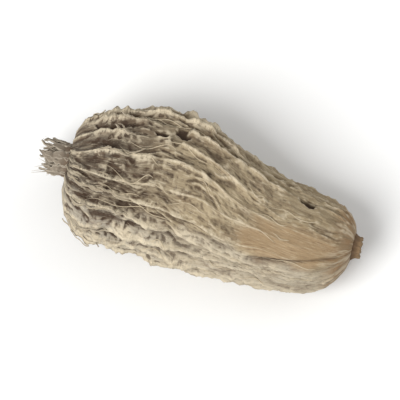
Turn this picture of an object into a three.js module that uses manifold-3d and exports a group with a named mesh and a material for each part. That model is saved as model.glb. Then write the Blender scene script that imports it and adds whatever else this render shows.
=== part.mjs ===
// A dried black cardamom pod, lying on its side.
// Millimetres, +Z up. The pod lies along X, with its stalk end at +X and its withered flower end at -X.
// The origin is on the surface that the pod rests on, under the middle of the whole pod.
import * as THREE from "three";
import { mergeVertices } from "three/addons/utils/BufferGeometryUtils.js";
import Module from "manifold-3d";

// The husk's outline in plan: distance from the stalk rim, radius between the ribs, sideways offset.
// The husk is narrow by the stalk, widest past its middle and blunt at the flower end, and bent, as it dried.
const OUTLINE = [
  [0, 1.5, -0.5],
  [0.4, 2.5, -0.65],
  [1.9, 3.8, -1],
  [4.8, 4.65, -1.15],
  [8.5, 5.05, -0.85],
  [12, 5.7, -0.15],
  [15.5, 6.3, 0.6],
  [19, 6.4, 0.85],
  [22.5, 6, 0.65],
  [25, 5.25, 0.4],
  [26.8, 4.15, 0.45],
  [27.6, 2.5, 1.05],
];
const HUSK_LENGTH = 27.6;
const HEIGHT_SHARE = 0.9; // the husk's height over its width
const AXIS_HEIGHT = [4.1, 4.8]; // of the husk's axis above the surface, at the stalk end and the flower end
const AXIS_ARCH = 0.55; // how much higher the axis is in the middle

// Three blunt lobes, one for each seed chamber, with a flat side down.
const LOBE = 0.05;
const DENT = 0.03;

// Ribs run from end to end. They are low by the stalk, and tall, sharp and wavy towards the flower.
const RIBS = 20;
const RIB_HEIGHT = 0.8;
const RIB_SHARPNESS = 1.8;
const RIB_TWIST = 0.3; // radians from end to end
const RIB_JITTER = 0.26; // how unevenly the ribs are spaced, over their spacing
const RIB_OWN = [0.75, 1.25]; // each rib's own height, over RIB_HEIGHT
const STALK_END_SHARE = 0.35; // rib height by the stalk, over the height further on
const TALL_FROM = [0.2, 0.62]; // shares of the husk's length between which the ribs grow tall
const LATE_EVERY = 3; // one rib in so many starts late, between its neighbours
const LATE_START = [0.05, 0.35]; // share of the husk's length
const LATE_RISE = 0.08; // share of the husk's length over which a late rib rises
const FLOWER_FALL = 0.4; // share of its height that a rib loses over the last tenth

// Waves along each rib: size, turns from end to end, and the chance that shifts them.
const SIDEWAYS_WAVES = [
  [0.16, 1.1, 2],
  [0.07, 2.9, 3],
  [0.04, 5.3, 8],
];
const HEIGHT_WAVES = [
  [0.2, 3.3, 5],
  [0.15, 7.7, 6],
];

// The underside is pressed flat where it would reach below the surface.
const PRESS_BAND = 0.3; // half the height over which the round side eases into the flat spot

// Sockets that the stalk and the flower's remains stand in.
const STALK_SOCKET = { radius: 1.45, depth: 1.2 };
const CALYX_SOCKET = { radius: 1.85, depth: 1.4 };
const SOCKET_GAP = 0.3;
const SOCKET_LIP = 0.05; // how far below the husk's rim a socket's straight wall starts

// The calyx: a short torn tube with frayed shreds round its mouth.
const CALYX_RADIUS = CALYX_SOCKET.radius - SOCKET_GAP;
const CALYX_TUBE = 1.1; // how far the tube stands out of the husk
const CALYX_WALL = 0.75;
const CALYX_FLARE = 0.1;
const CALYX_FLOOR = 0.2; // height of the cup's floor over the husk's rim
const CALYX_TILT = THREE.MathUtils.degToRad(7);
const SHREDS = 12;
const SHRED_LENGTH = [1.5, 3];
const SHRED_WIDTH = [0.7, 1.1];
const SHRED_THICKNESS = 0.6;
const SHRED_LEAN = [-0.4, 0.7]; // how far the tip leans outwards
const SHRED_DRIFT = [-0.6, 0.6]; // how far the tip strays sideways

// The stalk: a stub with a broken end.
const STALK_RADIUS = STALK_SOCKET.radius - SOCKET_GAP;
const STALK_OUT = 0.9; // how far the stub stands out of the husk

// Mesh density
const RINGS = 56;
const COLUMNS_PER_RIB = 4;
const CALYX_SIDES = 16;
const STALK_SIDES = 14;
const SEED = 4.7;

// A repeatable draw from 0 to 1 for item n, one for each use k.
function chance(n, k) {
  const x = Math.sin(n * 12.9898 + k * 78.233 + SEED) * 43758.5453;
  return x - Math.floor(x);
}

const between = ([low, high], share) => low + (high - low) * share;
const wave = (turns) => Math.sin(2 * Math.PI * turns);
const waves = (list, n, t) =>
  list.reduce((sum, [size, turns, k]) => sum + size * wave(turns * t + chance(n, k)), 0);

// The husk's surface

const outline = new THREE.CatmullRomCurve3(
  OUTLINE.map(([along, radius, side]) => new THREE.Vector3(along, radius, side)),
  false,
  "catmullrom",
);

// The angle of a rib's crest round the husk, from straight up. Crests wander and never cross.
function crestAngle(rib, t) {
  const n = ((rib % RIBS) + RIBS) % RIBS;
  const place = rib + RIB_JITTER * (chance(n, 1) - 0.5) + waves(SIDEWAYS_WAVES, n, t);
  return (place * 2 * Math.PI) / RIBS + RIB_TWIST * (t - 0.5);
}

// The height of a rib's crest over the valleys beside it.
function crestHeight(rib, t) {
  const n = ((rib % RIBS) + RIBS) % RIBS;
  const own = between(RIB_OWN, chance(n, 4)) * (1 + waves(HEIGHT_WAVES, n, t));
  const growth = between([STALK_END_SHARE, 1], THREE.MathUtils.smoothstep(t, ...TALL_FROM));
  const start = n % LATE_EVERY === 1 ? between(LATE_START, chance(n, 7)) : 0;
  const rise = THREE.MathUtils.smoothstep(t, start, start + LATE_RISE);
  const fall = 1 - FLOWER_FALL * THREE.MathUtils.smoothstep(t, 0.9, 1);
  return RIB_HEIGHT * own * growth * rise * fall;
}

// How round the body is: lobes and a few shallow dents, as a share of the radius.
function bodyShape(angle, t) {
  const lobes = LOBE * Math.cos(3 * angle);
  const dents = DENT * (Math.cos(2 * angle + 5 * t + 1) + Math.cos(5 * angle - 7 * t)) * 0.5;
  return 1 + (lobes + dents) * Math.sin(Math.PI * t);
}

// Lifts what would lie below the surface onto it, with a smooth start.
function press(z) {
  if (z > PRESS_BAND) return z;
  if (z < -PRESS_BAND) return 0;
  return (z + PRESS_BAND) ** 2 / (4 * PRESS_BAND);
}

// A point of the husk at share u of its outline, and column c counted in ribs: c is whole on a crest.
function huskPoint(u, c) {
  const { x: along, y: radius, z: side } = outline.getPoint(u);
  const t = along / HUSK_LENGTH;
  const rib = Math.floor(c);
  const past = c - rib;
  const angle = THREE.MathUtils.lerp(crestAngle(rib, t), crestAngle(rib + 1, t), past);
  const height =
    past < 0.5
      ? crestHeight(rib, t) * (1 - 2 * past) ** RIB_SHARPNESS
      : crestHeight(rib + 1, t) * (2 * past - 1) ** RIB_SHARPNESS;
  const reach = radius * bodyShape(angle, t) + height;
  return new THREE.Vector3(
    HUSK_LENGTH / 2 - along,
    side + reach * Math.sin(angle),
    press(axisHeight(t) + reach * HEIGHT_SHARE * Math.cos(angle)),
  );
}

function axisHeight(t) {
  return between(AXIS_HEIGHT, t) + AXIS_ARCH * Math.sin(Math.PI * t);
}

// A ring inside one of the sockets.
function socketRing(t, radius, depth, columns) {
  const [, , side] = t === 0 ? OUTLINE[0] : OUTLINE[OUTLINE.length - 1];
  const inward = t === 0 ? -depth : depth;
  return columns.map((c) => {
    const angle = crestAngle(0, t) + (c * 2 * Math.PI) / RIBS;
    return new THREE.Vector3(
      HUSK_LENGTH * (0.5 - t) + inward,
      side + radius * Math.sin(angle),
      axisHeight(t) + radius * Math.cos(angle),
    );
  });
}

// Closes a stack of rings, each with as many points, into one solid, with a point in each end's middle.
function closedSkin(rings) {
  const count = rings[0].length;
  const middle = (ring) =>
    ring.reduce((sum, p) => sum.add(p), new THREE.Vector3()).divideScalar(count);
  const points = [middle(rings[0]), ...rings.flat(), middle(rings[rings.length - 1])];
  const last = points.length - 1;
  const faces = [];
  for (let j = 0; j < count; j++) {
    const k = (j + 1) % count;
    faces.push(0, 1 + k, 1 + j);
    faces.push(last, last - count + j, last - count + k);
    for (let i = 0; i < rings.length - 1; i++) {
      const here = 1 + i * count;
      const next = here + count;
      faces.push(here + j, here + k, next + k);
      faces.push(here + j, next + k, next + j);
    }
  }
  const geometry = new THREE.BufferGeometry().setFromPoints(points);
  geometry.setIndex(faces);
  geometry.computeVertexNormals();
  return geometry;
}

function huskGeometry() {
  const columns = Array.from({ length: RIBS * COLUMNS_PER_RIB }, (_, j) => j / COLUMNS_PER_RIB);
  const outside = Array.from({ length: RINGS + 1 }, (_, i) => columns.map((c) => huskPoint(i / RINGS, c)));
  const { radius: stalkRadius, depth: stalkDepth } = STALK_SOCKET;
  const { radius: calyxRadius, depth: calyxDepth } = CALYX_SOCKET;
  return closedSkin([
    socketRing(0, stalkRadius, stalkDepth, columns),
    socketRing(0, stalkRadius, SOCKET_LIP, columns),
    ...outside,
    socketRing(1, calyxRadius, SOCKET_LIP, columns),
    socketRing(1, calyxRadius, calyxDepth, columns),
  ]);
}

// The calyx and the stalk, each made along its own +Z, which points out of the pod

// A four-sided strip along a line of points, with a width at each. Its flat side faces the way "out".
function strip(points, widths, thickness, out) {
  const rings = points.map((p, i) => {
    const ahead = points[Math.min(i + 1, points.length - 1)];
    const behind = points[Math.max(i - 1, 0)];
    const along = ahead.clone().sub(behind).normalize();
    const across = new THREE.Vector3().crossVectors(out, along).normalize();
    const through = new THREE.Vector3().crossVectors(along, across);
    const corner = (a, b) =>
      p.clone().addScaledVector(across, (a * widths[i]) / 2).addScaledVector(through, (b * thickness) / 2);
    return [corner(-1, -1), corner(1, -1), corner(1, 1), corner(-1, 1)];
  });
  return closedSkin(rings);
}

// One shred of the calyx: rooted in the tube's wall, leaning out and curling.
function shredGeometry(n) {
  const angle = ((n + 0.5 * (chance(n, 11) - 0.5)) * 2 * Math.PI) / SHREDS;
  const out = new THREE.Vector3(Math.cos(angle), Math.sin(angle), 0);
  const side = new THREE.Vector3(-out.y, out.x, 0);
  const length = between(SHRED_LENGTH, chance(n, 12));
  const width = between(SHRED_WIDTH, chance(n, 13));
  const lean = between(SHRED_LEAN, chance(n, 14));
  const drift = between(SHRED_DRIFT, chance(n, 15));
  const root = CALYX_RADIUS - SHRED_THICKNESS / 2 - CALYX_FLARE / 2;
  const points = [0, 0.3, 0.6, 0.85, 1].map((s) =>
    new THREE.Vector3(0, 0, CALYX_TUBE * 0.35 + length * s * (1 - 0.2 * Math.abs(lean) * s))
      .addScaledVector(out, root + lean * s ** 2)
      .addScaledVector(side, drift * s ** 2),
  );
  const taper = [1, 0.95, 0.8, 0.6, 0.35];
  return strip(points, taper.map((share) => width * share), SHRED_THICKNESS, out);
}

// A solid of revolution through [radius, height] pairs, from the bottom of its axis to the top.
function turned(profile, sides) {
  const points = profile.map(([radius, height]) => new THREE.Vector2(radius, height));
  return new THREE.LatheGeometry(points, sides).rotateX(Math.PI / 2);
}

function calyxTube() {
  const bottom = SOCKET_GAP - CALYX_SOCKET.depth;
  return turned(
    [
      [0, bottom],
      [CALYX_RADIUS - CALYX_FLARE, bottom],
      [CALYX_RADIUS, 0],
      [CALYX_RADIUS + CALYX_FLARE, CALYX_TUBE],
      [CALYX_RADIUS + CALYX_FLARE - CALYX_WALL, CALYX_TUBE],
      [CALYX_RADIUS - CALYX_FLARE - CALYX_WALL, CALYX_FLOOR],
      [0, CALYX_FLOOR],
    ],
    CALYX_SIDES,
  );
}

function stalkGeometry() {
  const bottom = SOCKET_GAP - STALK_SOCKET.depth;
  return turned(
    [
      [0, bottom],
      [STALK_RADIUS, bottom],
      [STALK_RADIUS * 0.97, 0.2],
      [STALK_RADIUS * 0.86, STALK_OUT * 0.6],
      [STALK_RADIUS * 0.92, STALK_OUT * 0.85],
      [STALK_RADIUS * 0.6, STALK_OUT],
      [0, STALK_OUT * 0.8],
    ],
    STALK_SIDES,
  );
}

// Joining

const wasm = await Module();
wasm.setup();

function solid(geometry) {
  const bare = geometry.clone();
  bare.deleteAttribute("normal");
  bare.deleteAttribute("uv");
  const merged = mergeVertices(bare, 1e-4);
  return new wasm.Manifold(
    new wasm.Mesh({
      numProp: 3,
      vertProperties: merged.attributes.position.array,
      triVerts: new Uint32Array(merged.index.array),
    }),
  );
}

function geometryOf(manifold) {
  const mesh = manifold.getMesh();
  const geometry = new THREE.BufferGeometry();
  geometry.setAttribute("position", new THREE.BufferAttribute(mesh.vertProperties, 3));
  geometry.setIndex(new THREE.BufferAttribute(mesh.triVerts, 1));
  geometry.computeVertexNormals();
  return geometry;
}

function calyxGeometry() {
  let joined = solid(calyxTube());
  for (let n = 0; n < SHREDS; n++) joined = joined.add(solid(shredGeometry(n)));
  return geometryOf(joined);
}

// The pod

const finish = {
  husk: new THREE.MeshStandardMaterial({ color: 0xa39274, roughness: 0.8, metalness: 0 }),
  calyx: new THREE.MeshStandardMaterial({ color: 0xa89980, roughness: 0.85, metalness: 0 }),
  stalk: new THREE.MeshStandardMaterial({ color: 0x866e52, roughness: 0.9, metalness: 0 }),
};

function piece(name, geometry, material) {
  const mesh = new THREE.Mesh(geometry, material);
  mesh.name = name;
  return mesh;
}

const husk = piece("husk", huskGeometry(), finish.husk);

const calyx = piece("calyx", calyxGeometry(), finish.calyx);
calyx.position.set(-HUSK_LENGTH / 2, OUTLINE[OUTLINE.length - 1][2], axisHeight(1));
calyx.rotation.y = CALYX_TILT - Math.PI / 2;

const stalk = piece("stalk", stalkGeometry(), finish.stalk);
stalk.position.set(HUSK_LENGTH / 2, OUTLINE[0][2], axisHeight(0));
stalk.rotation.y = Math.PI / 2;

const pod = new THREE.Group();
pod.add(husk, calyx, stalk);
const middle = new THREE.Box3().setFromObject(pod, true).getCenter(new THREE.Vector3());
pod.position.set(-middle.x, -middle.y, 0);

export default pod;
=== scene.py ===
# The looks of a dried black cardamom pod that lies on its side.
import math
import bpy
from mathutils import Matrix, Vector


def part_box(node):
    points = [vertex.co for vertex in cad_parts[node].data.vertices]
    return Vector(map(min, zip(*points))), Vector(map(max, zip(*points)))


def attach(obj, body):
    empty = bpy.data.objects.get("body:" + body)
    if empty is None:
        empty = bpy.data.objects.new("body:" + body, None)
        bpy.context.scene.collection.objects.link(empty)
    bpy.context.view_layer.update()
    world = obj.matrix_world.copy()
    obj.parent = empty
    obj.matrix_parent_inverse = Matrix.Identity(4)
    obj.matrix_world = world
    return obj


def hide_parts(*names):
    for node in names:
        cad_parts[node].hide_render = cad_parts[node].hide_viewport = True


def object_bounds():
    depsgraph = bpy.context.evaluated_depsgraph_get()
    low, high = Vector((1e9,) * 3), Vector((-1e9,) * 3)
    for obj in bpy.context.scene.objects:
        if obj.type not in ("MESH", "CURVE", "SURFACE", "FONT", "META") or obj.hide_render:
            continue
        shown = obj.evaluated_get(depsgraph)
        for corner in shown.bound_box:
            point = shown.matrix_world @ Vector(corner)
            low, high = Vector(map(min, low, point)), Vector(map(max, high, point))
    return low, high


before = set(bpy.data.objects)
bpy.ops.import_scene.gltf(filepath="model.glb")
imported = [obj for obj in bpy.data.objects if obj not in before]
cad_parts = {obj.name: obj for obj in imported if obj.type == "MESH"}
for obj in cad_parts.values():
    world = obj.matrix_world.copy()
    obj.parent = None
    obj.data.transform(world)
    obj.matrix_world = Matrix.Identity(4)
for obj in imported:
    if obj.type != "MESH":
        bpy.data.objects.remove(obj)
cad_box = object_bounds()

from types import SimpleNamespace

import bpy
import numpy as np
from mathutils import Vector

MM = 0.001  # metres in a millimetre; sizes below are in millimetres where nothing else is said

# The husk's outline in plan: distance from the stalk rim, radius between the ribs, sideways offset.
# The husk is narrow by the stalk, widest past its middle and blunt at the flower end, and bent, as it dried.
OUTLINE = np.array([
    (0, 1.5, -0.5),
    (0.4, 2.5, -0.65),
    (1.9, 3.8, -1),
    (4.8, 4.65, -1.15),
    (8.5, 5.05, -0.85),
    (12, 5.7, -0.15),
    (15.5, 6.3, 0.6),
    (19, 6.4, 0.85),
    (22.5, 6, 0.65),
    (25, 5.25, 0.4),
    (26.8, 4.15, 0.45),
    (27.6, 2.5, 1.05),
])
HUSK_LENGTH = 27.6
HEIGHT_SHARE = 0.9  # the husk's height over its width
AXIS_HEIGHT = (4.1, 4.8)  # of the husk's axis above the surface, at the stalk end and the flower end
AXIS_ARCH = 0.55  # how much higher the axis is in the middle
LOBE = 0.05  # size of the three blunt lobes, over the radius
DENT = 0.03  # size of the shallow dents, over the radius
PRESS_BAND = 0.3  # half the height over which the round side eases into the flat spot
CALYX_TILT = math.radians(7)

# Ribs, as on the solid husk: low by the stalk, and tall, sharp and wavy towards the flower
RIBS = 20
RIB_HEIGHT = 0.8
RIB_SHARPNESS = 1.8
RIB_TWIST = 0.3  # radians from end to end
RIB_JITTER = 0.26  # how unevenly the ribs are spaced, over their spacing
RIB_OWN = (0.75, 1.25)  # each rib's own height, over RIB_HEIGHT
STALK_END_SHARE = 0.35  # rib height by the stalk, over the height further on
TALL_FROM = (0.2, 0.62)  # shares of the husk's length between which the ribs grow tall
LATE_EVERY = 3  # one rib in so many starts late, between its neighbours
LATE_START = (0.05, 0.35)  # share of the husk's length
LATE_RISE = 0.08  # share of the husk's length over which a late rib rises
FLOWER_FALL = 0.4  # share of its height that a rib loses over the last tenth
SEED = 4.7

# Waves along each rib: size, turns from end to end, and the use of the draw that shifts them
SIDEWAYS_WAVES = ((0.16, 1.1, 2), (0.07, 2.9, 3), (0.04, 5.3, 8))
HEIGHT_WAVES = ((0.2, 3.3, 5), (0.15, 7.7, 6))

# Density of the husk's mesh, and of the outline's samples that its rows are spaced by
ROWS = 250
COLUMNS_PER_RIB = 19
OUTLINE_SAMPLES = 4000

# A rib's thin torn edge, which stands on the rib
EDGE_SHARE = 0.45  # share of the rib's height that is in its edge
EDGE_SHARPNESS = 5
EDGE_LEFT = (0.25, 1)  # share of the edge that stands where it has torn off, and where it is whole
WHOLE_BAND = (-0.55, -0.1)  # of the noise, from torn off to whole
LEAN_SHARPNESS = 3

# Fine relief. The bands called FROM are the shares of the husk's length over which each kind comes in.
RELIEF_FROM = (0, 0.04)
CREASED_FROM = (0.15, 0.55)
CREASING = (0.3, 1)  # share of the swell and the wrinkles by the stalk, and further on
POCKED_FROM = (0.4, 0.85)
KNOB_HEIGHT = 0.16
KNOB_BAND = (0.1, 0.6)
POCK_DEPTH = 0.35
POCK_BAND = (0.05, 0.8)
TOP_ROOM = 0.28  # how far the relief may stand over the solid husk's highest crest
BARREL = 5.5  # radius of the even barrel that the noise is drawn on

# Layers of noise: size, lumps per millimetre round the husk and along it, and the use of their draws
PATCH_EDGE = ((0.25, 0.7, 0.7, 23),)
PIT_EDGE = ((0.45, 1.9, 1.2, 24), (0.35, 4.6, 2, 27))
# Wandering edges of the flanks with painted reflection and painted shade
FLANK_EDGE_WANDER = ((0.35, 0.3, 0.25, 25), (0.15, 1.1, 1.1, 26))
SHIFTS = tuple(((0.9, 0.35, 0.35, k),) for k in (31, 32, 33))  # along x, y and z
TORN_EDGE = ((0.35, 1.5, 1.1, 41), (0.25, 3, 3.1, 42))
WHOLE_EDGE = ((1, 0.5, 0.35, 43),)
LEAN = ((0.35, 0.35, 0.25, 44),)
SWELL = ((0.22, 0.3, 0.2, 51),)
GRIT = ((0.05, 3.7, 3.7, 55), (0.03, 6.1, 6.1, 56))
ROUGHNESS = ((1, 0.9, 0.5, 57), (0.45, 2.1, 1.3, 58))

# Raised lines: height, the share of it that lies under the skin, sharpness, lines per millimetre round the
# husk and along it, and the use of their draws
VEINS = {"height": 0.3, "sunk": 0.35, "sharpness": 3, "round": 0.75, "along": 0.12, "k": 52}
STRANDS = {"height": 0.12, "sunk": 0.5, "sharpness": 2, "round": 1.8, "along": 0.2, "k": 53}
WRINKLES = {"height": 0.16, "sunk": 0.35, "sharpness": 3, "round": 0.8, "along": 0.4, "k": 54}
FORK_SIZE = 0.45  # of the finer noise that makes the lines fork, over the coarse noise
FORK_SCALE = 2.3
FORK_SHIFT = 0.4

# The smooth patch by the stalk, the crease below it, the pits, and the flanks with a painted reflection and
# painted shade. Their places are distances from the stalk rim, and angles from straight up. The crease has
# both at its two ends, and its fading ends as shares of its length.
PATCH = {"along": 5.4, "angle": -0.5, "half_length": 5.6, "half_angle": 0.45, "band": (0.65, 1.15)}
PATCH_SMOOTHING = 0.8  # share of the fine relief that the patch is without
FOLD = {"along": (0.8, 9.2), "angle": (-0.6, -0.96), "radius": 0.24, "depth": 0.38}
FOLD_START = (-0.1, 0.2)
FOLD_END = (0.7, 1.1)
PITS = (
    {"along": 4.7, "angle": 0.6, "radius": 0.62, "depth": 0.65},
    {"along": 17.6, "angle": 0.6, "radius": 0.52, "depth": 0.6},
    {"along": 19.3, "angle": 0.5, "radius": 0.55, "depth": 0.65},
)
PIT_STRETCH = 1.3  # how much longer a pit is along the pod than across
PIT_BAND = (0.4, 1.25)
PIT_SURROUND = 3  # radius round a pit in which the relief is flatter, over the pit's own
PIT_FLATTENING = 0.75
# The flank with a painted reflection, and the flank with painted shade
REFLECTING_FLANK = {"angle": -1.45, "band": (0.35, 0.95)}
SHADED_FLANK = {"angle": 1.3, "band": (0.25, 0.95), "along": (8, 15)}

# How the painted shade in the furrows and the painted highlights on the crests find them: how many points
# away the neighbours that are averaged lie, and how many times
NEARBY = (1, 3)
WIDER = (4, 4)


# Chance, waves and noise

LATTICE = (1.0, 57.0, 113.0)  # gives each point with whole coordinates a number of its own
LUMP_GAIN = 1.7  # brings the noise to about -1 to 1


def chance(n, k):
    """A repeatable draw from 0 to 1 for item n, one for each use k."""
    x = np.sin(np.asarray(n) * 12.9898 + k * 78.233 + SEED) * 43758.5453
    return x - np.floor(x)


def between(limits, share):
    return limits[0] + (limits[1] - limits[0]) * share


def wave(turns):
    return np.sin(2 * np.pi * turns)


def waves(layers, n, t):
    """Item n's waves at t, added up."""
    return sum(size * wave(turns * t + chance(n, k)) for size, turns, k in layers)


def smoothstep(x, low, high):
    s = np.clip((x - low) / (high - low), 0, 1)
    return s * s * (3 - 2 * s)


def lumps(points, k):
    """Smooth noise at an array of points, with lumps one unit apart."""
    base = np.floor(points)
    part = points - base
    ease = part**3 * (part * (part * 6 - 15) + 10)
    total = 0
    for corner in np.ndindex(2, 2, 2):
        place = (base + corner) @ LATTICE
        turn = 2 * np.pi * chance(place, k)
        height = 2 * chance(place, k + 0.5) - 1
        flat = np.sqrt(1 - height**2)
        slope = np.stack([flat * np.cos(turn), flat * np.sin(turn), height], -1)
        weight = np.prod(np.where(corner, ease, 1 - ease), -1)
        total = total + weight * np.sum(slope * (part - corner), -1)
    return LUMP_GAIN * total


def noise(layers, points):
    """Layers of noise at an array of points, added up."""
    return sum(size * lumps(points * (across, across, along), k) for size, across, along, k in layers)


def ridges(lines, points):
    """Raised lines that wander, fork and join, along the zeros of smooth noise."""
    points = points * (lines["round"], lines["round"], lines["along"])
    fork = FORK_SIZE * lumps(points * FORK_SCALE + FORK_SHIFT, lines["k"] + 0.25)
    field = lumps(points, lines["k"]) + fork
    return lines["height"] * (np.clip(1 - np.abs(field), 0, 1) ** lines["sharpness"] - lines["sunk"])


# The husk's form, as on the solid husk

def outline_at(u):
    """Distance along, radius and sideways offset at shares u of the outline, on a smooth curve through it."""
    padded = np.vstack([2 * OUTLINE[0] - OUTLINE[1], OUTLINE, 2 * OUTLINE[-1] - OUTLINE[-2]])
    place = np.asarray(u) * (len(OUTLINE) - 1)
    start = np.minimum(np.floor(place).astype(int), len(OUTLINE) - 2)
    w = (place - start)[:, None]
    p0, p1, p2, p3 = (padded[start + i] for i in range(4))
    out = (p2 - p0) / 2
    into = (p3 - p1) / 2
    squared = 3 * (p2 - p1) - 2 * out - into
    cubed = 2 * (p1 - p2) + out + into
    return (p1 + out * w + squared * w**2 + cubed * w**3).T


def even_shares(rows):
    """Shares of the outline that are evenly spaced along its length."""
    u = np.linspace(0, 1, OUTLINE_SAMPLES)
    along, radius, _ = outline_at(u)
    run = np.concatenate([[0], np.cumsum(np.hypot(np.diff(along), np.diff(radius)))])
    return np.interp(np.linspace(0, run[-1], rows), run, u)


def axis_height(t):
    return between(AXIS_HEIGHT, t) + AXIS_ARCH * np.sin(np.pi * t)


def press(z):
    """Lifts what would lie below the surface onto it, with a smooth start."""
    eased = (z + PRESS_BAND) ** 2 / (4 * PRESS_BAND)
    return np.where(z > PRESS_BAND, z, np.where(z < -PRESS_BAND, 0, eased))


def below_top(z):
    """Keeps the highest peaks under the top, as softly as press keeps the underside on the surface."""
    top = cad_box[1].z / MM + TOP_ROOM
    return top - press(top - z)


def crest_angles(t):
    """The angle of each rib's crest from straight up, a row for each distance and a column for each rib."""
    n = np.arange(RIBS)
    place = n + RIB_JITTER * (chance(n, 1) - 0.5) + waves(SIDEWAYS_WAVES, n, t)
    return place * 2 * np.pi / RIBS + RIB_TWIST * (t - 0.5)


def crest_heights(t):
    """The height of each rib's crest over the valleys beside it, in the same rows and columns."""
    n = np.arange(RIBS)
    own = between(RIB_OWN, chance(n, 4)) * (1 + waves(HEIGHT_WAVES, n, t))
    growth = between((STALK_END_SHARE, 1), smoothstep(t, *TALL_FROM))
    start = np.where(n % LATE_EVERY == 1, between(LATE_START, chance(n, 7)), 0)
    rise = smoothstep(t, start, start + LATE_RISE)
    fall = 1 - FLOWER_FALL * smoothstep(t, 0.9, 1)
    return RIB_HEIGHT * own * growth * rise * fall


def body_shape(angle, t):
    """How round the body is: lobes and a few shallow dents, as a share of the radius."""
    lobes = LOBE * np.cos(3 * angle)
    dents = DENT * (np.cos(2 * angle + 5 * t + 1) + np.cos(5 * angle - 7 * t)) * 0.5
    return 1 + (lobes + dents) * np.sin(np.pi * t)


def round_points(radius, spin, height):
    """Points at a radius and a height, spun round +Z."""
    return np.stack(np.broadcast_arrays(radius * np.cos(spin), radius * np.sin(spin), height), -1)


def husk_grid():
    """Where the husk's points are on its plain body, row by row from the stalk.

    t is the distance along as a share of the length, crest is the height of the nearest rib's crest, near
    is 1 on a crest and 0 in a valley, and barrel is the point's place on an even barrel, where noise has
    no seam.
    """
    along, radius, side = (column[:, None] for column in outline_at(even_shares(ROWS)))
    t = along / HUSK_LENGTH
    place = np.arange(RIBS * COLUMNS_PER_RIB)[None, :] / COLUMNS_PER_RIB
    rib = np.floor(place).astype(int)[0]
    beyond = (rib + 1) % RIBS
    past = place - rib
    crests = crest_angles(t)
    heights = crest_heights(t)
    turn = np.where(rib == RIBS - 1, 2 * np.pi, 0)  # the first rib again, a full turn on from the last
    return SimpleNamespace(
        along=along,
        t=t,
        radius=radius,
        side=side,
        barrel=round_points(BARREL, place * 2 * np.pi / RIBS, along),
        angle=crests[:, rib] * (1 - past) + (crests[:, beyond] + turn) * past,
        crest=np.where(past < 0.5, heights[:, rib], heights[:, beyond]),
        near=np.abs(1 - 2 * past),
    )


# The husk's fine relief

def turned(angle, middle):
    """The angle from middle, from minus to plus half a turn."""
    return np.mod(angle - middle + np.pi, 2 * np.pi) - np.pi


def patch_share(at):
    """1 inside the smooth patch by the stalk, 0 outside, with an uneven edge."""
    away = turned(at.angle, PATCH["angle"]) / PATCH["half_angle"]
    reach = np.hypot((at.along - PATCH["along"]) / PATCH["half_length"], away)
    return 1 - smoothstep(reach + noise(PATCH_EDGE, at.barrel), *PATCH["band"])


def pit_share(pit, at, spread=1):
    """1 inside a pit and 0 outside its ragged edge. A spread over 1 makes the pit wider."""
    away = np.hypot((at.along - pit["along"]) / PIT_STRETCH, turned(at.angle, pit["angle"]) * at.radius)
    return 1 - smoothstep(away / pit["radius"] / spread + noise(PIT_EDGE, at.barrel), *PIT_BAND)


def fold_share(at):
    """1 in the crease below the patch, falling to 0 beside it and past its ends."""
    start, end = FOLD["along"]
    share = (at.along - start) / (end - start)
    away = turned(at.angle, between(FOLD["angle"], share)) * at.radius / FOLD["radius"]
    return np.exp(-(away**2)) * smoothstep(share, *FOLD_START) * (1 - smoothstep(share, *FOLD_END))


def flank_share(flank, at, wandering):
    """1 on a flank, falling to 0 across its wandering edge."""
    return 1 - smoothstep(np.abs(turned(at.angle, flank["angle"])) + wandering, *flank["band"])


def painted_flank_light(at):
    """Painted light: 1 for a painted reflection on one flank, -1 for painted shade on the other, mostly away
    from the stalk.
    """
    wandering = noise(FLANK_EDGE_WANDER, at.barrel)
    dark = flank_share(SHADED_FLANK, at, wandering) * smoothstep(at.along, *SHADED_FLANK["along"])
    return flank_share(REFLECTING_FLANK, at, wandering) - dark


def edge_share(barrel):
    """How tall a rib's thin edge stands: torn, and missing here and there."""
    whole = smoothstep(noise(WHOLE_EDGE, barrel), *WHOLE_BAND)
    return (1 + noise(TORN_EDGE, barrel)) * between(EDGE_LEFT, whole)


def rib_relief(at):
    """The rounded ribs, and the thin edges on them."""
    rounded = (1 - EDGE_SHARE) * at.near**RIB_SHARPNESS
    edges = EDGE_SHARE * at.near**EDGE_SHARPNESS * edge_share(at.barrel)
    return at.crest * (rounded + edges)


def fine_relief(t, barrel):
    """A slow swell, veins and finer strands along the husk, wrinkles aslant, knobs and pocks, and grit."""
    shifted = barrel + np.stack([noise(layers, barrel) for layers in SHIFTS], -1)
    even = ridges(VEINS, shifted) + ridges(STRANDS, shifted) + noise(GRIT, barrel)
    creased = noise(SWELL, barrel) + ridges(WRINKLES, shifted)
    rough = noise(ROUGHNESS, shifted)
    pocked = KNOB_HEIGHT * smoothstep(-rough, *KNOB_BAND) - POCK_DEPTH * smoothstep(rough, *POCK_BAND)
    creasing = between(CREASING, smoothstep(t, *CREASED_FROM))
    pocking = smoothstep(t, *POCKED_FROM)
    return smoothstep(t, *RELIEF_FROM) * (even + creasing * creased + pocking * pocked)


def husk_relief(at, smooth, pits):
    """How far ribs and fine relief stand out of the plain body, less the pits and the crease."""
    fine = fine_relief(at.t, at.barrel) * (1 - PATCH_SMOOTHING * smooth)
    round_pits = sum(pit_share(pit, at, PIT_SURROUND) for pit in PITS)
    kept = 1 - PIT_FLATTENING * np.minimum(round_pits, 1)
    sunk = sum(pit["depth"] * share for pit, share in zip(PITS, pits))
    return (rib_relief(at) + fine) * kept - sunk - FOLD["depth"] * fold_share(at)


def softened(field, reach, times):
    """The field averaged over its neighbours. It wraps round the husk but not along it."""
    for _ in range(times):
        field = (np.roll(field, reach, 1) + field + np.roll(field, -reach, 1)) / 3
        before = np.vstack([np.repeat(field[:1], reach, 0), field[:-reach]])
        after = np.vstack([field[reach:], np.repeat(field[-1:], reach, 0)])
        field = (before + field + after) / 3
    return field


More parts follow.
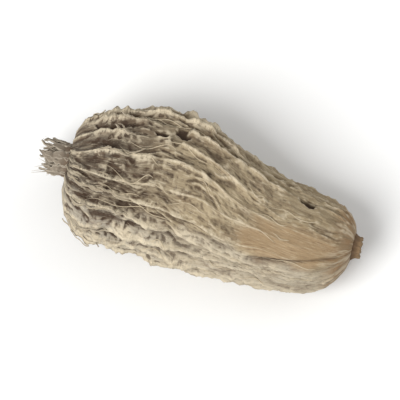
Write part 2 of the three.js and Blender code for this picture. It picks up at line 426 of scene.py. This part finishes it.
def husk_surface():
    """The husk's points, row by row from the stalk, and what its colours need to know at each."""
    at = husk_grid()
    smooth = patch_share(at)
    pits = [pit_share(pit, at) for pit in PITS]
    relief = husk_relief(at, smooth, pits)
    reach = at.radius * body_shape(at.angle, at.t) + relief
    lean = noise(LEAN, at.barrel) * at.near**LEAN_SHARPNESS * at.crest / RIB_HEIGHT / at.radius
    angle = at.angle + lean
    x = np.broadcast_to(HUSK_LENGTH / 2 - at.along, reach.shape)
    y = at.side + reach * np.sin(angle)
    z = below_top(press(axis_height(at.t) + reach * HEIGHT_SHARE * np.cos(angle)))
    values = {
        "hollow": softened(relief, *NEARBY) - relief,
        "valley": softened(relief, *WIDER) - relief,
        "smooth": smooth,
        "pit": np.max(pits, 0),
        "age": np.broadcast_to(at.t, reach.shape),
        "weather": painted_flank_light(at),
        "grain": at.barrel,
    }
    return np.stack([x, y, z], -1), values


# The pod's place in the frame

def pod_offset():
    """Where the formulas' own origin lies in the frame."""
    husk_low, husk_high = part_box("husk")
    stalk_low, stalk_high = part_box("stalk")
    x = (husk_low.x + husk_high.x) / 2 / MM
    y = (stalk_low.y + stalk_high.y) / 2 / MM - OUTLINE[0][2]
    return np.array([x, y, 0])


def placed(points, origin, turn):
    """Points made round their own +Z, which points out of the pod, put at origin and turned about Y."""
    x = points[..., 0] * math.cos(turn) + points[..., 2] * math.sin(turn)
    z = points[..., 2] * math.cos(turn) - points[..., 0] * math.sin(turn)
    return np.stack([x, points[..., 1], z], -1) + origin


def on_calyx(points):
    origin = (-HUSK_LENGTH / 2, OUTLINE[-1][2], axis_height(1))
    return placed(points, origin, CALYX_TILT - math.pi / 2)


def on_stalk(points):
    return placed(points, (HUSK_LENGTH / 2, OUTLINE[0][2], axis_height(0)), math.pi / 2)


OFFSET = pod_offset()


# Building meshes

def with_poles(field):
    """The field's rows in one list, with the first and last rows' means before and after them."""
    flat = field.reshape(-1, *field.shape[2:])
    return np.concatenate([field[:1].mean(1), flat, field[-1:].mean(1)])


def ring_faces(first, rows, columns):
    """Faces over rings of points that are numbered from first, with an end point before and after them."""
    last = first + rows * columns
    j = np.arange(columns)
    k = (j + 1) % columns
    start = first + np.arange(rows - 1)[:, None] * columns
    quads = np.stack([start + j, start + k, start + columns + k, start + columns + j], -1)
    pairs = list(zip(j.tolist(), k.tolist()))
    near_end = [(first - 1, first + b, first + a) for a, b in pairs]
    far_end = [(last, last - columns + a, last - columns + b) for a, b in pairs]
    return quads.reshape(-1, 4).tolist() + near_end + far_end


class Skin:
    """Closed skins, each a stack of rings, gathered into one piece with named values at its points."""

    def __init__(self):
        self.count = 0
        self.points = []
        self.faces = []
        self.values = {}

    def add(self, rings, **values):
        """Adds a skin. Each of its values is given for every point, for every ring or for all of it."""
        rows, columns = rings.shape[:2]
        self.points.append(with_poles(rings))
        for name, value in values.items():
            value = np.asarray(value, float)
            if value.ndim < 2:
                value = np.broadcast_to(np.atleast_1d(value)[:, None], (rows, columns))
            self.values.setdefault(name, []).append(with_poles(value))
        self.faces += ring_faces(self.count + 1, rows, columns)
        self.count += rows * columns + 2

    def piece(self, name, material, replaced=None):
        """Makes the object, in metres in the frame, riding on the pod's one body."""
        mesh = bpy.data.meshes.new(name)
        points = (np.concatenate(self.points) + OFFSET) * MM
        mesh.from_pydata(points.tolist(), [], self.faces)
        mesh.shade_smooth()
        for label, parts in self.values.items():
            values = np.concatenate(parts)
            kind, field = ("FLOAT_VECTOR", "vector") if values.ndim == 2 else ("FLOAT", "value")
            kept = mesh.attributes.new(label, kind, "POINT")
            kept.data.foreach_set(field, values.ravel().astype(np.float32))
        mesh.materials.append(material)
        made = bpy.data.objects.new(name, mesh)
        bpy.context.scene.collection.objects.link(made)
        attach(made, "root")
        if replaced:
            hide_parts(replaced)


# Materials

# The mix node's sockets for colours
MIX_A = 6
MIX_B = 7
MIX_RESULT = 2


class Paint:
    """A material and the nodes that feed its shader."""

    def __init__(self, name):
        self.material = bpy.data.materials.new(name)
        self.material.use_nodes = True
        self.tree = self.material.node_tree
        self.shader = self.tree.nodes["Principled BSDF"]

    def feed(self, socket, value):
        if isinstance(value, bpy.types.NodeSocket):
            self.tree.links.new(value, socket)
        else:
            socket.default_value = value

    def kept(self, name, output="Fac"):
        """What the mesh keeps at its points under this name."""
        made = self.tree.nodes.new("ShaderNodeAttribute")
        made.attribute_name = name
        return made.outputs[output]

    def times(self, a, b):
        made = self.tree.nodes.new("ShaderNodeMath")
        made.operation = "MULTIPLY"
        self.feed(made.inputs[0], a)
        self.feed(made.inputs[1], b)
        return made.outputs[0]

    def level(self, low, high, share):
        """A number that goes from low to high as the share goes from 0 to 1."""
        made = self.tree.nodes.new("ShaderNodeMapRange")
        self.feed(made.inputs["Value"], share)
        made.inputs["To Min"].default_value = low
        made.inputs["To Max"].default_value = high
        return made.outputs["Result"]

    def scaled(self, vector, scale):
        made = self.tree.nodes.new("ShaderNodeVectorMath")
        made.operation = "MULTIPLY"
        self.feed(made.inputs[0], vector)
        made.inputs[1].default_value = scale
        return made.outputs[0]

    def noise(self, vector, scale, detail, roughness):
        made = self.tree.nodes.new("ShaderNodeTexNoise")
        self.feed(made.inputs["Vector"], vector)
        made.inputs["Scale"].default_value = scale
        made.inputs["Detail"].default_value = detail
        made.inputs["Roughness"].default_value = roughness
        return made.outputs["Fac"]

    def ramp(self, value, low, high):
        """0 below low, 1 above high, smooth between. It falls instead where low is the greater."""
        made = self.tree.nodes.new("ShaderNodeMapRange")
        made.interpolation_type = "SMOOTHSTEP"
        self.feed(made.inputs["Value"], value)
        made.inputs["From Min"].default_value = low
        made.inputs["From Max"].default_value = high
        return made.outputs["Result"]

    def mix(self, share, a, b):
        made = self.tree.nodes.new("ShaderNodeMix")
        made.data_type = "RGBA"
        self.feed(made.inputs["Factor"], share)
        self.feed(made.inputs[MIX_A], a)
        self.feed(made.inputs[MIX_B], b)
        return made.outputs[MIX_RESULT]

    def wash(self, base, tint, most, mask):
        """The base with a tint laid over it by the mask, which hides at most this share of the base."""
        return self.mix(self.times(mask, most), base, tint)

    def bump(self, height, distance, strength, under=None):
        made = self.tree.nodes.new("ShaderNodeBump")
        made.inputs["Distance"].default_value = distance
        made.inputs["Strength"].default_value = strength
        self.feed(made.inputs["Height"], height)
        if under:
            self.feed(made.inputs["Normal"], under)
        return made.outputs["Normal"]


def colour(red, green, blue):
    """A screen colour from 0 to 255 as the linear one that nodes use."""
    def linear(v):
        v /= 255
        return v / 12.92 if v <= 0.04045 else ((v + 0.055) / 1.055) ** 2.4

    return (linear(red), linear(green), linear(blue), 1)


# Painted shade for the furrows and the pits, and the colour of the dark specks
FURROW_SHADE_AND_SPECK = colour(70, 54, 41)
FLOWER_END = colour(96, 86, 74)
MIDDLE = colour(170, 153, 123)
STALK_END = colour(153, 135, 105)
SMOOTH_PATCH = colour(165, 139, 105)
# Painted reflection along one flank
FLANK_REFLECTION = colour(199, 190, 172)
# Painted highlight for raised crests and flecks, and the pale of worn spots, hairs, chafing and fibre edges
CREST_HIGHLIGHT_AND_PALE_WEAR = colour(214, 200, 173)
STRAW = colour(186, 170, 142)
UMBER = colour(98, 76, 56)
TUFT = colour(142, 131, 116)
TUFT_EDGE = colour(178, 167, 150)
SHRED = colour(160, 147, 125)
SHRED_EDGE = colour(196, 184, 163)
BARK = colour(134, 110, 82)
RUST = colour(144, 110, 74)
FLOOR_TONES = ((0.86, 0.86, 0.85, 1), (0.9, 0.9, 0.89, 1))  # already linear

# Noise in the husk's colour: scale along the pod over that round it, scale, detail and roughness
HUSK_NOISE = {
    "streaks": (0.12, 2.6, 6, 0.65),
    "blotches": (0.6, 0.45, 4, 0.55),
    "flecks": (0.55, 1.3, 2, 0.5),
    "specks": (1, 5.5, 3, 0.7),
    "hairs": (0.1, 9, 5, 0.7),
}
HUSK_VALUES = ("age", "hollow", "valley", "smooth", "pit", "weather")
SHRED_GRAIN = (9, 9, 0.7)  # lumps of noise per millimetre in the grain's x, y and z
FLOOR_GRAIN = 60  # spots per metre

# Bumps: depth and strength
HAIR_BUMP = (0.18 * MM, 0.8)
SPECK_BUMP = (0.08 * MM, 0.5)
SHRED_BUMP = (0.08 * MM, 0.6)


def husk_masks(paint):
    """What the husk's colour goes by: values kept at its points, and noise along its grain."""
    grain = paint.kept("grain", "Vector")
    masks = {name: paint.kept(name) for name in HUSK_VALUES}
    for name, (along, scale, detail, roughness) in HUSK_NOISE.items():
        masks[name] = paint.noise(paint.scaled(grain, (1, 1, along)), scale, detail, roughness)
    return SimpleNamespace(**masks)


def weathered_and_lit(paint, at):
    """The skin from end to end, painted reflection and painted shade on the flanks, blotches, streaks,
    painted highlights on raised flecks and the smooth patch.
    """
    base = paint.mix(paint.ramp(at.age, 0.5, 0.9), MIDDLE, FLOWER_END)
    base = paint.mix(paint.ramp(at.age, 0.42, 0.1), base, STALK_END)
    # Painted reflection on one flank, and painted shade on the other
    base = paint.wash(base, FLANK_REFLECTION, 0.6, paint.ramp(at.weather, 0, 1))
    base = paint.wash(base, UMBER, 0.45, paint.ramp(at.weather, 0, -1))
    base = paint.wash(base, UMBER, 0.45, paint.ramp(at.blotches, 0.52, 0.7))
    base = paint.wash(base, STRAW, 0.5, paint.ramp(at.streaks, 0.45, 0.68))
    base = paint.wash(base, UMBER, 0.45, paint.ramp(at.streaks, 0.45, 0.3))
    # Painted highlight: pale flecks where the relief stands above its neighbours
    fleck_highlight = paint.times(paint.ramp(at.flecks, 0.52, 0.62), paint.ramp(at.valley, 0.12, -0.08))
    base = paint.wash(base, CREST_HIGHLIGHT_AND_PALE_WEAR, 0.55, fleck_highlight)
    return paint.wash(base, SMOOTH_PATCH, 0.85, at.smooth)


def furrowed(paint, at, base):
    """Painted shade in the furrows, most of it by the flower, pale wear and painted highlights on the crests,
    dark and pale hairs.
    """
    depth = paint.level(0.5, 0.92, paint.ramp(at.age, 0.4, 0.85))
    # Painted shade: furrows darkened by how far they lie below their neighbours, more towards the flower
    base = paint.mix(paint.times(depth, paint.ramp(at.valley, 0.01, 0.32)), base, FURROW_SHADE_AND_SPECK)
    base = paint.mix(paint.times(depth, paint.ramp(at.hollow, 0.01, 0.08)), base, FURROW_SHADE_AND_SPECK)
    # Pale wear and painted highlight on the highest crests
    worn_and_highlit = paint.times(paint.ramp(at.valley, -0.12, -0.5), paint.ramp(at.specks, 0.4, 0.6))
    base = paint.wash(base, CREST_HIGHLIGHT_AND_PALE_WEAR, 0.9, worn_and_highlit)
    # Painted highlight along every crest that stands above its near neighbours
    base = paint.wash(base, CREST_HIGHLIGHT_AND_PALE_WEAR, 0.45, paint.ramp(at.hollow, -0.03, -0.09))
    base = paint.wash(base, UMBER, 0.5, paint.ramp(at.hairs, 0.52, 0.66))
    return paint.wash(base, CREST_HIGHLIGHT_AND_PALE_WEAR, 0.4, paint.ramp(at.hairs, 0.46, 0.34))


def marked(paint, at, base):
    """The rusty, chafed rim by the stalk, painted shade in the pits, and dark specks."""
    rusty = paint.times(paint.ramp(at.age, 0.1, 0.015), paint.ramp(at.streaks, 0.3, 0.6))
    base = paint.wash(base, RUST, 0.85, rusty)
    chafed = paint.times(paint.ramp(at.age, 0.1, 0.03), paint.ramp(at.flecks, 0.47, 0.62))
    base = paint.wash(base, CREST_HIGHLIGHT_AND_PALE_WEAR, 0.5, chafed)
    # Painted shade in the pits
    base = paint.wash(base, FURROW_SHADE_AND_SPECK, 0.9, paint.ramp(at.pit, 0.1, 0.95))
    return paint.wash(base, FURROW_SHADE_AND_SPECK, 0.5, paint.ramp(at.specks, 0.36, 0.28))


def husk_paint():
    paint = Paint("husk_skin")
    at = husk_masks(paint)
    base = marked(paint, at, furrowed(paint, at, weathered_and_lit(paint, at)))
    paint.feed(paint.shader.inputs["Base Color"], base)
    paint.feed(paint.shader.inputs["Roughness"], paint.level(0.62, 0.88, at.streaks))
    paint.shader.inputs["Specular IOR Level"].default_value = 0.3
    hairy = paint.bump(at.hairs, *HAIR_BUMP)
    paint.feed(paint.shader.inputs["Normal"], paint.bump(at.specks, *SPECK_BUMP, hairy))
    return paint.material


def shred_paint(name, root, tip, rim):
    """Papery fibre: root colour to tip colour along a shred, and paler at its torn edges."""
    paint = Paint(name)
    fibres = paint.noise(paint.scaled(paint.kept("grain", "Vector"), SHRED_GRAIN), 1, 4, 0.65)
    base = paint.mix(paint.ramp(paint.kept("share"), 0.05, 0.6), root, tip)
    base = paint.wash(base, root, 0.6, paint.ramp(fibres, 0.5, 0.7))
    base = paint.mix(paint.ramp(paint.kept("edge"), 0.6, 1), base, rim)
    paint.feed(paint.shader.inputs["Base Color"], base)
    paint.shader.inputs["Roughness"].default_value = 0.8
    paint.shader.inputs["Specular IOR Level"].default_value = 0.25
    paint.feed(paint.shader.inputs["Normal"], paint.bump(fibres, *SHRED_BUMP))
    return paint.material


def floor_paint():
    paint = Paint("floor_paper")
    where = paint.tree.nodes.new("ShaderNodeTexCoord").outputs["Object"]
    tone = paint.noise(where, FLOOR_GRAIN, 2, 0.5)
    paint.feed(paint.shader.inputs["Base Color"], paint.mix(tone, *FLOOR_TONES))
    paint.shader.inputs["Roughness"].default_value = 0.9
    return paint.material


# The husk

# The rings that close the husk inside its two ends: shares of the rim's size, and how far the middle is
# sunk along X
STALK_CAP = {"shares": (0.15, 0.4, 0.65, 0.85), "sink": -0.6}
CALYX_CAP = {"shares": (0.9, 0.75, 0.5, 0.2), "sink": 1.2}


def cap_rings(rim, cap):
    """Rings that close the husk from its rim inwards."""
    middle = rim.mean(0)
    return np.stack([
        middle + (rim - middle) * share + (cap["sink"] * (1 - share), 0, 0) for share in cap["shares"]
    ])


def with_end_rows(field, before, after):
    """The field with its first and last rows repeated, for the rings that close the husk."""
    return np.concatenate([np.repeat(field[:1], before, 0), field, np.repeat(field[-1:], after, 0)])


def build_husk(points, values):
    stalk_rings = cap_rings(points[0], STALK_CAP)
    calyx_rings = cap_rings(points[-1], CALYX_CAP)
    rings = np.concatenate([stalk_rings, points, calyx_rings])
    counts = (len(stalk_rings), len(calyx_rings))
    skin = Skin()
    skin.add(rings, **{name: with_end_rows(value, *counts) for name, value in values.items()})
    skin.piece("pod_husk", husk_paint(), "husk")


# Blades and strands

BLADE_FLUTE = 0.03  # height of the flutes across a blade
BLADE_FLUTES = 9  # radians of flutes from a blade's middle to its edge
STRAND_SIDES = 5
STRAND_GUIDE = (0.3, 0.5, 0.81)  # no strand runs this way
STRAND_TAPER = ((0, 0.15, 0.6, 1), (0.4, 1, 0.8, 0.2))  # shares of its length, and of its radius there
UP = np.array([0, 0, 1])


def unit(vectors):
    return vectors / np.linalg.norm(vectors, axis=-1, keepdims=True)


def spins(sides):
    """Angles that are evenly spaced round a ring."""
    return np.arange(sides) * 2 * np.pi / sides


def line_sides(points, guide):
    """Two ways at right angles to a line at each of its points, the second on the guide's side."""
    along = unit(np.gradient(points, axis=0))
    across = unit(np.cross(guide, along))
    return across, np.cross(along, across)


def outward(angle):
    """The way out at an angle round +Z, and the way at its side."""
    out = np.array([math.cos(angle), math.sin(angle), 0])
    return out, np.array([-out[1], out[0], 0])


def eased_line(line, times):
    """The line's points, each drawn towards its neighbours, with both ends held."""
    line = np.array(line)
    for _ in range(times):
        line[1:-1] = (line[:-2] + 2 * line[1:-1] + line[2:]) / 4
    return line


def blade(points, widths, out, look, k):
    """A thin closed blade along a line, and how near its edge each point is.

    Its outer face is turned out. k is the use of the draws for its torn edges, and shifts its flutes.
    """
    across, through = line_sides(points, out)
    share = np.linspace(-1, 1, look["columns"])
    torn = 1 + look["rag"] * (2 * chance(np.arange(len(points)), k) - 1)
    reach = np.outer(widths * torn / 2, share)
    lift = look["cup"] * reach**2 - BLADE_FLUTE * np.cos(share * BLADE_FLUTES + k)
    middle = points[:, None] + across[:, None] * reach[..., None]
    half = look["thickness"] / 2
    inner = middle + through[:, None] * (lift - half)[..., None]
    outer = middle + through[:, None] * (lift + half)[..., None]
    rings = np.concatenate([inner, outer[:, ::-1]], 1)
    edge = np.abs(np.concatenate([share, share[::-1]]))
    return rings, np.broadcast_to(edge, rings.shape[:2])


def strand(points, radius):
    """A round fibre along a line, with fine ends."""
    across, through = line_sides(points, STRAND_GUIDE)
    size = radius * np.interp(np.linspace(0, 1, len(points)), *STRAND_TAPER)[:, None, None]
    spin = spins(STRAND_SIDES)[None, :, None]
    return points[:, None] + size * (across[:, None] * np.cos(spin) + through[:, None] * np.sin(spin))


# The calyx

# Its whorls of shreds: the first item's number, count, radius, and ranges of length, of width and of how far
# the tips lean out
WHORLS = (
    {
        "first": 100, "count": 15, "radius": 1.5,
        "length": (1.3, 3.2), "width": (0.65, 1.1), "lean": (-0.3, 0.65),
    },
    {
        "first": 200, "count": 12, "radius": 1.05,
        "length": (1.6, 3.2), "width": (0.5, 0.9), "lean": (-0.45, 0.35),
    },
)
SHRED_ROWS = 21
SHRED_ROOT = 0.5  # how deep a shred is rooted
SHRED_JITTER = 0.7  # how unevenly the shreds are spaced, over their spacing
SHRED_DROOP = 0.12  # length that a shred loses by leaning
SHRED_DRIFT = (-0.65, 0.65)  # how far the tip strays sideways
SHRED_CURL = (-0.5, 0.3)  # how far the tip curls out
SHRED_CRINKLES = ((0.09, 2.3, 46), (0.05, 5.1, 48))
SHRED_TAPER = ((0, 0.35, 0.7, 0.9, 1), (1, 0.95, 0.7, 0.4, 0.12))  # shares of its length, and of its width
SHRED_CUP = 0.12  # how much a shred bends round the tube, times the whorl's radius
SHRED_LOOK = {"thickness": 0.1, "columns": 7, "rag": 0.38}
SHRED_RAG = 60  # use of the draws for the shreds' torn edges, for item 0
CALYX_FIBRES = {"first": 300, "count": 26, "rows": 9, "radius": 0.045}
CALYX_FIBRE_FOOT = (0.8, 1.55)  # distance of a fibre's foot from the middle
CALYX_FIBRE_LENGTH = (1.7, 3.3)
CALYX_FIBRE_CURL = (-0.6, 0.8)
CALYX_FIBRE_BEND = (-0.7, 0.7)
CALYX_FIBRE_TONES = (0.4, 1)  # from the root colour to the tip colour

# The withered middle's profile: radius and height. It is rough where it is narrower than its wall.
PLUG_PROFILE = ((1.1, -0.7), (1.4, -0.5), (1.4, 0.2), (1.15, 0.5), (0.7, 0.4), (0.35, 0.6))
PLUG_WALL = 1.4
PLUG_SIDES = 48
PLUG_FLUTES = 9
PLUG_FLUTE = 0.06  # height of its flutes, over the radius
PLUG_LUMPS = 7
PLUG_LUMP = 0.1  # height of the lumps where it is rough


def calyx_shred(n, whorl):
    """One papery shred, in the calyx's own coordinates, its edge values and shares of its length."""
    place = n + SHRED_JITTER * (chance(n, 41) - 0.5)
    out, side = outward(place * 2 * math.pi / whorl["count"])
    length = between(whorl["length"], chance(n, 42))
    width = between(whorl["width"], chance(n, 43))
    lean = between(whorl["lean"], chance(n, 44))
    drift = between(SHRED_DRIFT, chance(n, 45))
    curl = between(SHRED_CURL, chance(n, 47))
    s = np.linspace(0, 1, SHRED_ROWS)[:, None]
    crinkle = waves(SHRED_CRINKLES, n, s) * s
    height = s * (length + SHRED_ROOT) * (1 - SHRED_DROOP * abs(lean) * s) - SHRED_ROOT
    distance = whorl["radius"] + lean * s**2 + curl * s**4 + crinkle
    points = UP * height + out * distance + side * (drift * s**2 + crinkle)
    widths = width * np.interp(s[:, 0], *SHRED_TAPER)
    look = SHRED_LOOK | {"cup": -SHRED_CUP / whorl["radius"]}
    rings, edge = blade(points, widths, out, look, SHRED_RAG + n)
    return rings, edge, s[:, 0]


def calyx_plug():
    """The dark withered middle that the shreds stand round."""
    spin = spins(PLUG_SIDES)
    rings = []
    for radius, height in PLUG_PROFILE:
        uneven = 1 + PLUG_FLUTE * np.cos(PLUG_FLUTES * spin + radius * 4)
        lumpy = PLUG_LUMP * np.cos(PLUG_LUMPS * spin + 3 * height + radius * 5)
        rough = lumpy * (radius < PLUG_WALL)
        rings.append(round_points(radius * uneven, spin, height + rough))
    return np.stack(rings)


def calyx_fibre(n):
    """A loose hair between the shreds, in the calyx's own coordinates."""
    out, side = outward(chance(n, 51) * 2 * math.pi)
    length = between(CALYX_FIBRE_LENGTH, chance(n, 52))
    curl = between(CALYX_FIBRE_CURL, chance(n, 53))
    bend = between(CALYX_FIBRE_BEND, chance(n, 54))
    foot = between(CALYX_FIBRE_FOOT, chance(n, 55))
    s = np.linspace(0, 1, CALYX_FIBRES["rows"])[:, None]
    points = out * (foot + curl * s**2) + side * (bend * s**2) + UP * (length * s)
    return strand(points, CALYX_FIBRES["radius"])


def build_calyx():
    skin = Skin()
    for whorl in WHORLS:
        for n in range(whorl["count"]):
            rings, edge, share = calyx_shred(whorl["first"] + n, whorl)
            skin.add(on_calyx(rings), share=share, edge=edge, grain=rings)
    plug = calyx_plug()
    skin.add(on_calyx(plug), share=0, edge=0, grain=plug)
    for n in range(CALYX_FIBRES["count"]):
        fibre = calyx_fibre(CALYX_FIBRES["first"] + n)
        share = np.linspace(*CALYX_FIBRE_TONES, len(fibre))
        skin.add(on_calyx(fibre), share=share, edge=1, grain=fibre)
    skin.piece("pod_calyx", shred_paint("calyx_paper", UMBER, TUFT, TUFT_EDGE), "calyx")


# The stalk

# The stub's profile: radius and distance out of the husk
STALK_PROFILE = (
    (1.42, -0.4), (1.36, -0.1), (1.2, 0.1), (1.05, 0.3), (0.98, 0.5), (1, 0.68), (0.98, 0.8),
    (0.78, 0.82), (0.6, 0.66), (0.4, 0.62), (0.2, 0.56),
)
STALK_SIDES = 96
STALK_BARREL = 4  # radius of the barrel that the stub's noise is drawn on
STALK_FLUTES = 13
STALK_FLUTE = 0.05  # height of its flutes, over the radius
FLUTE_TWIST = 0.6  # radians of the flutes' wave in a millimetre of height
STALK_LUMPS = ((0.07, 1, 1, 71),)
STALK_TEAR = ((0.22, 0.8, 0.3, 72),)
STALK_SINK = 0.08  # how far the torn end is sunk
TEAR_BAND = (0.45, 0.8)  # distances out of the husk between which the tear sets in
PALE_FROM = 0.6  # share of the profile's points after which the wood is pale
PALE_WOOD = 0.75  # how pale it is there, where 1 is the palest


def build_stalk():
    """The broken stub: a wide foot, uneven flutes and a torn, sunk end."""
    spin = spins(STALK_SIDES)
    rings = []
    for radius, height in STALK_PROFILE:
        place = round_points(STALK_BARREL, spin, height)
        flutes = STALK_FLUTE * np.cos(STALK_FLUTES * spin + FLUTE_TWIST * height)
        uneven = 1 + noise(STALK_LUMPS, place) + flutes
        torn = smoothstep(height, *TEAR_BAND) * (noise(STALK_TEAR, place) - STALK_SINK)
        rings.append(round_points(radius * uneven, spin, height + torn))
    rings = np.stack(rings)
    share = np.linspace(0, 1, len(rings))
    edge = np.where(share > PALE_FROM, PALE_WOOD, 0)
    skin = Skin()
    skin.add(on_stalk(rings), share=share, edge=edge, grain=rings)
    skin.piece("pod_stalk", shred_paint("stalk_wood", UMBER, BARK, STALK_END), "stalk")


# Loose fibres and peeling shreds on the husk

LOWEST = 1.5  # no fibre or shred lies lower than this on the husk
FIBRES = 70  # as many are tried, and those that would lie too low are left out
FIBRE_ROWS = (14, 50)  # how many of the husk's rows a fibre lies along
FIBRE_FROM = 30  # the row that the fibres start from
FIBRE_SHORT = 12  # rows by the flower that they keep clear of
FIBRE_DRIFT = (-9, 9)  # columns of the husk that a fibre drifts across
FIBRE_WAVE = ((2.5, 1.3, 64),)
FIBRE_GAP = 0.03  # between a fibre's middle and the husk
FIBRE_LIFT = (0, 0.25)  # how far a fibre's end stands off the husk
FIBRE_EASING = 8
FIBRE_RADIUS = 0.045
FIBRE_TONES = (0.5, 1)  # from the root colour to the tip colour
FIBRE_EDGE = 0.8  # how pale a fibre is, where 1 is as pale as a shred's torn edge
HUSK_SHREDS = {"first": 400, "count": 60}  # as many are tried, from this item on
PEEL_ROWS = (10, 22)
PEEL_FROM = 178  # the row that the shreds start from, by the flower
PEEL_SHORT = 4
PEEL_SIDE = (-2, 3)  # columns from a rib's crest
PEEL_TURNED = 0.4  # share of the shreds that peel from their end by the stalk
PEEL_GAP = 0.02
PEEL_LIFT = (0.1, 0.45)  # how far a shred's free end stands off the husk
PEEL_WAVE = ((0.3, 0.7, 87),)
PEEL_WIDTH = (0.12, 0.32)
PEEL_TAPER = ((0, 0.4, 0.85, 1), (0.6, 1, 0.6, 0.15))
PEEL_EASING = 4
PEEL_LOOK = {"thickness": 0.05, "columns": 5, "cup": 1.5, "rag": 0.4}
PEEL_TONES = (0.4, 1)


def drawn_rows(counts, first, short, n, k):
    """A run of the husk's rows for item n, by two draws from use k on."""
    count = int(between(counts, chance(n, k)))
    start = int(between((first, ROWS - count - short), chance(n, k + 1)))
    return np.arange(start, start + count)


def on_husk(points, rows, columns):
    """Points of the husk and the way out at each, or None where they are low on its underside."""
    on_skin = points[rows, columns % points.shape[1]]
    if on_skin[:, 2].min() < LOWEST:
        return None
    return on_skin, unit(on_skin - points[rows].mean(1))


def husk_fibre(n, points):
    """The middle line of a loose fibre that lies along the husk and lifts off at its end, or None."""
    rows = drawn_rows(FIBRE_ROWS, FIBRE_FROM, FIBRE_SHORT, n, 61)
    s = np.linspace(0, 1, len(rows))
    wander = between(FIBRE_DRIFT, chance(n, 63)) * s + waves(FIBRE_WAVE, n, s)
    found = on_husk(points, rows, (points.shape[1] * chance(n, 65) + wander).astype(int))
    if found is None:
        return None
    on_skin, out = found
    lift = FIBRE_GAP + between(FIBRE_LIFT, chance(n, 66)) * s**2
    return eased_line(on_skin + out * lift[:, None], FIBRE_EASING)


def husk_shred(n, points):
    """A papery strip that peels off a rib's crest by the flower, with its values, or None."""
    rows = drawn_rows(PEEL_ROWS, PEEL_FROM, PEEL_SHORT, n, 81)
    crest = int(RIBS * chance(n, 83)) * COLUMNS_PER_RIB
    found = on_husk(points, rows, crest + int(between(PEEL_SIDE, chance(n, 84))))
    if found is None:
        return None
    on_skin, out = found
    s = np.linspace(0, 1, len(rows))
    if chance(n, 85) < PEEL_TURNED:
        s = s[::-1]
    lift = PEEL_GAP + between(PEEL_LIFT, chance(n, 86)) * s**2
    sideways = waves(PEEL_WAVE, n, s) * s
    line = on_skin + out * lift[:, None] + (0, 1, 0) * sideways[:, None]
    widths = between(PEEL_WIDTH, chance(n, 88)) * np.interp(s, *PEEL_TAPER)
    rings, edge = blade(eased_line(line, PEEL_EASING), widths, out, PEEL_LOOK, n)
    return rings, edge, between(PEEL_TONES, s)


def build_fibres(points):
    skin = Skin()
    for n in range(FIBRES):
        line = husk_fibre(n, points)
        if line is not None:
            fibre = strand(line, FIBRE_RADIUS)
            share = np.linspace(*FIBRE_TONES, len(fibre))
            skin.add(fibre, share=share, edge=FIBRE_EDGE, grain=fibre)
    skin.piece("husk_fibres", shred_paint("fibre_straw", UMBER, STRAW, CREST_HIGHLIGHT_AND_PALE_WEAR))


def build_shreds(points):
    skin = Skin()
    for n in range(HUSK_SHREDS["count"]):
        made = husk_shred(HUSK_SHREDS["first"] + n, points)
        if made:
            rings, edge, share = made
            skin.add(rings, share=share, edge=edge, grain=rings)
    skin.piece("husk_shreds", shred_paint("shred_paper", UMBER, SHRED, SHRED_EDGE))


# The setting, in metres and watts

FLOOR_SIZE = 4
KEY_LIGHT = {"place": (-0.2, -0.3, 0.42), "size": 0.3, "power": 2.9}
FILL_LIGHT = {"place": (0.3, 0.32, 0.3), "size": 0.5, "power": 0.7}
GLOW = 0.48  # strength of the even white light from all round
CAMERA_AZIMUTH = math.radians(14)
CAMERA_ELEVATION = math.radians(72)
CAMERA_DISTANCE = 0.42
FRAME_WIDTH = 0.0375  # width of the picture at the pod
SENSOR = 36  # in millimetres
AIM_HEIGHT = 0.32  # share of the pod's height that the camera points at


def build_floor():
    bpy.ops.mesh.primitive_plane_add(size=FLOOR_SIZE)
    floor = bpy.context.object
    floor.name = "floor"
    floor.data.materials.append(floor_paint())


def add_light(name, light):
    lamp = bpy.data.lights.new(name, "AREA")
    lamp.size = light["size"]
    lamp.energy = light["power"]
    made = bpy.data.objects.new(name, lamp)
    made.location = light["place"]
    made.rotation_euler = (-Vector(light["place"])).to_track_quat("-Z", "Y").to_euler()
    bpy.context.scene.collection.objects.link(made)


def build_lights():
    add_light("key", KEY_LIGHT)
    add_light("fill", FILL_LIGHT)
    world = bpy.data.worlds.new("studio")
    world.use_nodes = True
    background = world.node_tree.nodes["Background"]
    background.inputs["Color"].default_value = (1, 1, 1, 1)
    background.inputs["Strength"].default_value = GLOW
    bpy.context.scene.world = world


def build_camera():
    lens = bpy.data.cameras.new("camera")
    lens.sensor_width = SENSOR
    lens.lens = SENSOR * CAMERA_DISTANCE / FRAME_WIDTH
    made = bpy.data.objects.new("camera", lens)
    low, high = cad_box
    target = Vector(((low.x + high.x) / 2, (low.y + high.y) / 2, AIM_HEIGHT * high.z))
    flat = math.cos(CAMERA_ELEVATION)
    back = Vector((
        math.sin(CAMERA_AZIMUTH) * flat,
        -math.cos(CAMERA_AZIMUTH) * flat,
        math.sin(CAMERA_ELEVATION),
    ))
    made.location = target + back * CAMERA_DISTANCE
    made.rotation_euler = (-back).to_track_quat("-Z", "Y").to_euler()
    bpy.context.scene.collection.objects.link(made)
    bpy.context.scene.camera = made
    bpy.context.scene.view_settings.view_transform = "Standard"


build_camera()
build_lights()
build_floor()
husk_points, husk_values = husk_surface()
build_husk(husk_points, husk_values)
build_calyx()
build_stalk()
build_fibres(husk_points)
build_shreds(husk_points)
